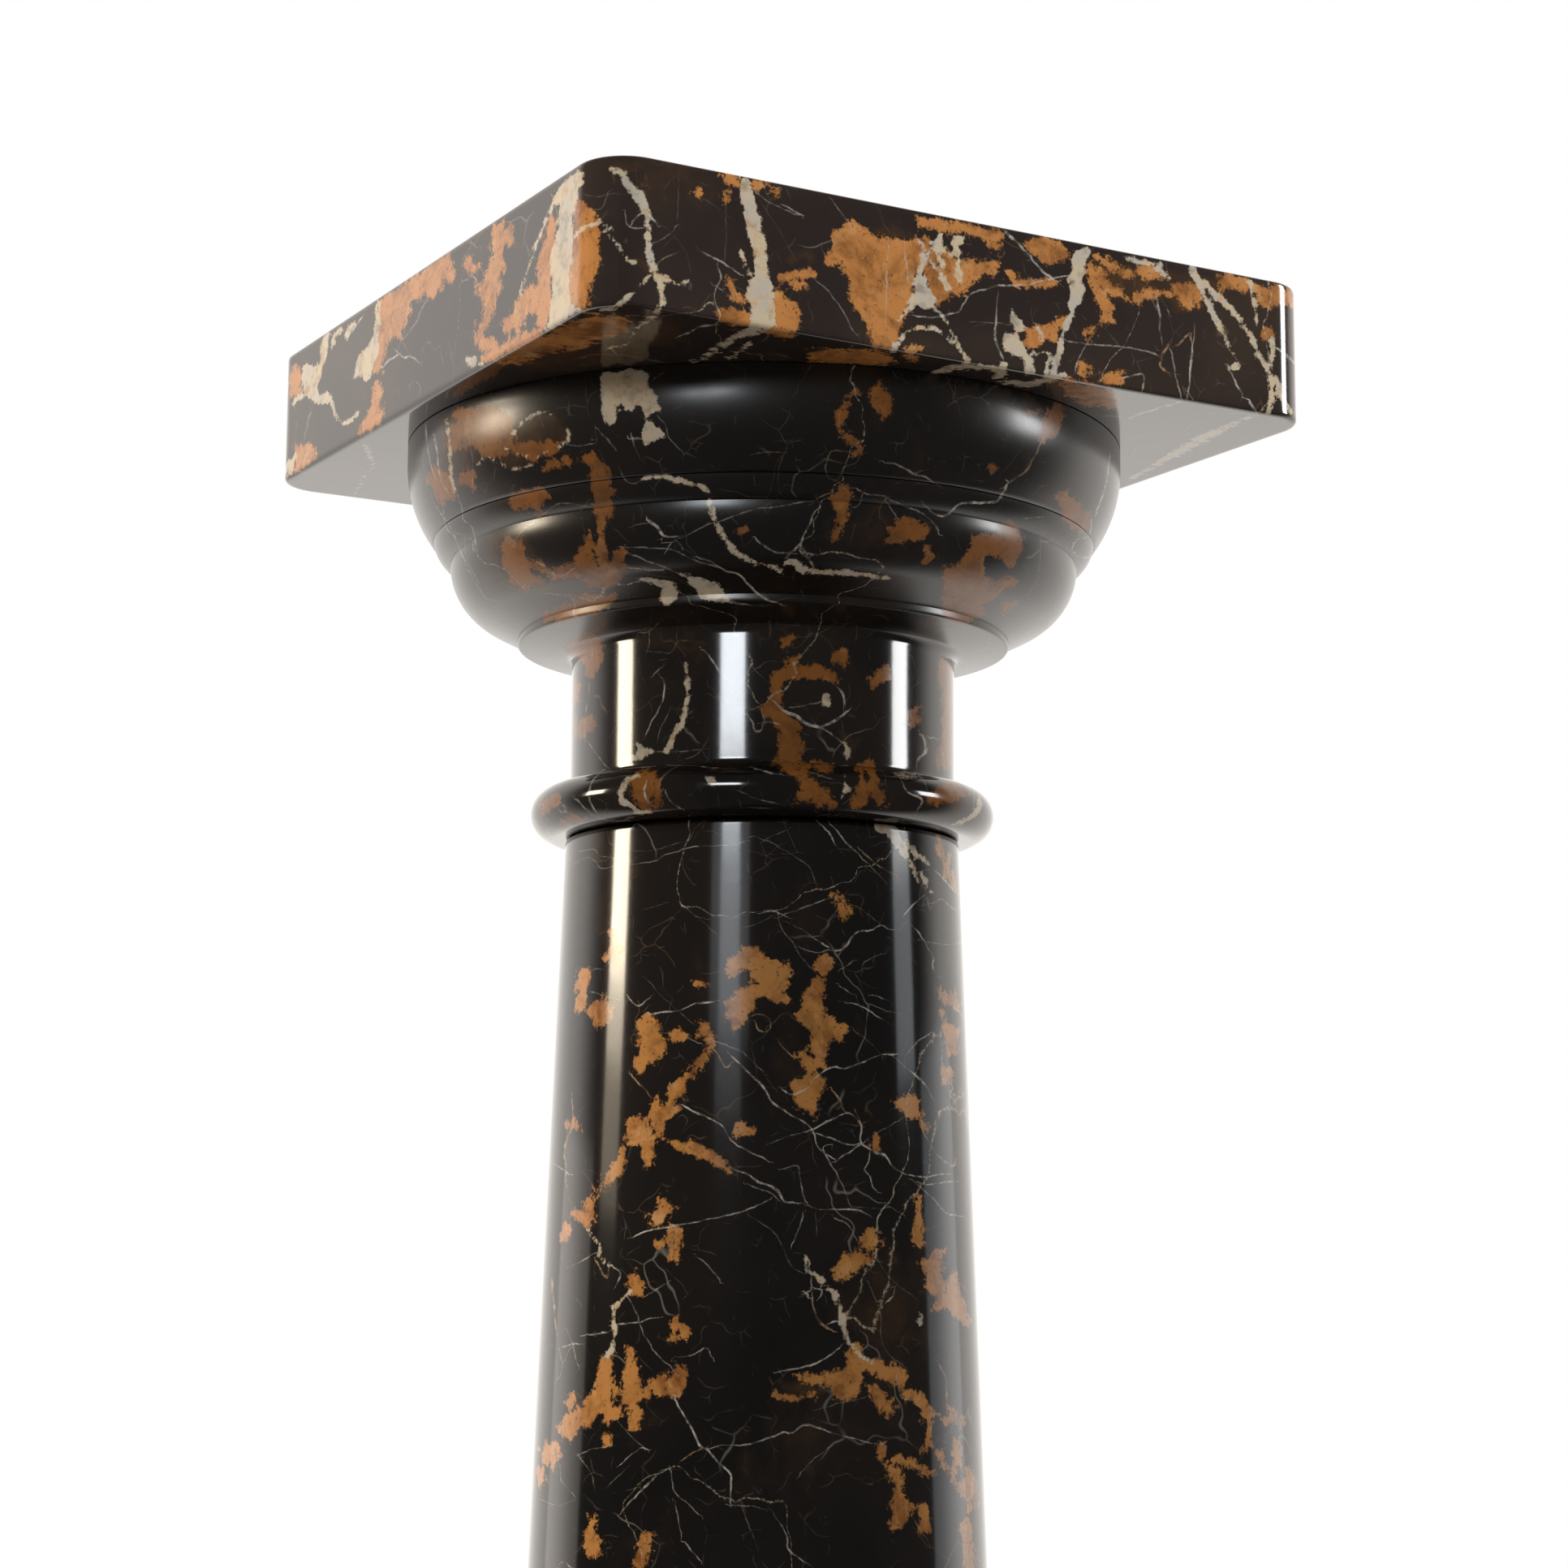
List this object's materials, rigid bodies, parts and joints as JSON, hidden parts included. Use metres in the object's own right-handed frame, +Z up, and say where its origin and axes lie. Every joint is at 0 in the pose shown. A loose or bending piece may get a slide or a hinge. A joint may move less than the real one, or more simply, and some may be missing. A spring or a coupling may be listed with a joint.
{
  "type": "marble pedestal",
  "caption": "Column pedestal in dark polished marble: square plinth, moulded round base, tapered round shaft, turned capital and a square top slab to stand an ornament on.",
  "frame": {"origin": "centre of the plinth's underside, on the axis of the turned stones", "axes": "+Z up along the column; X and Y are square to the plinth's and the slab's sides; the picture looks from -X and -Y"},
  "size_m": [0.32, 0.32, 1.0634],
  "materials": {
    "plinth": "polished",
    "base": "polished",
    "shaft": "polished",
    "capital": "polished",
    "top_slab": "polished"
  },
  "bodies": {
    "root": {"plinth": "plinth", "base": "base", "shaft": "shaft", "capital": "capital", "top_slab": "top_slab"}
  },
  "joints": []
}
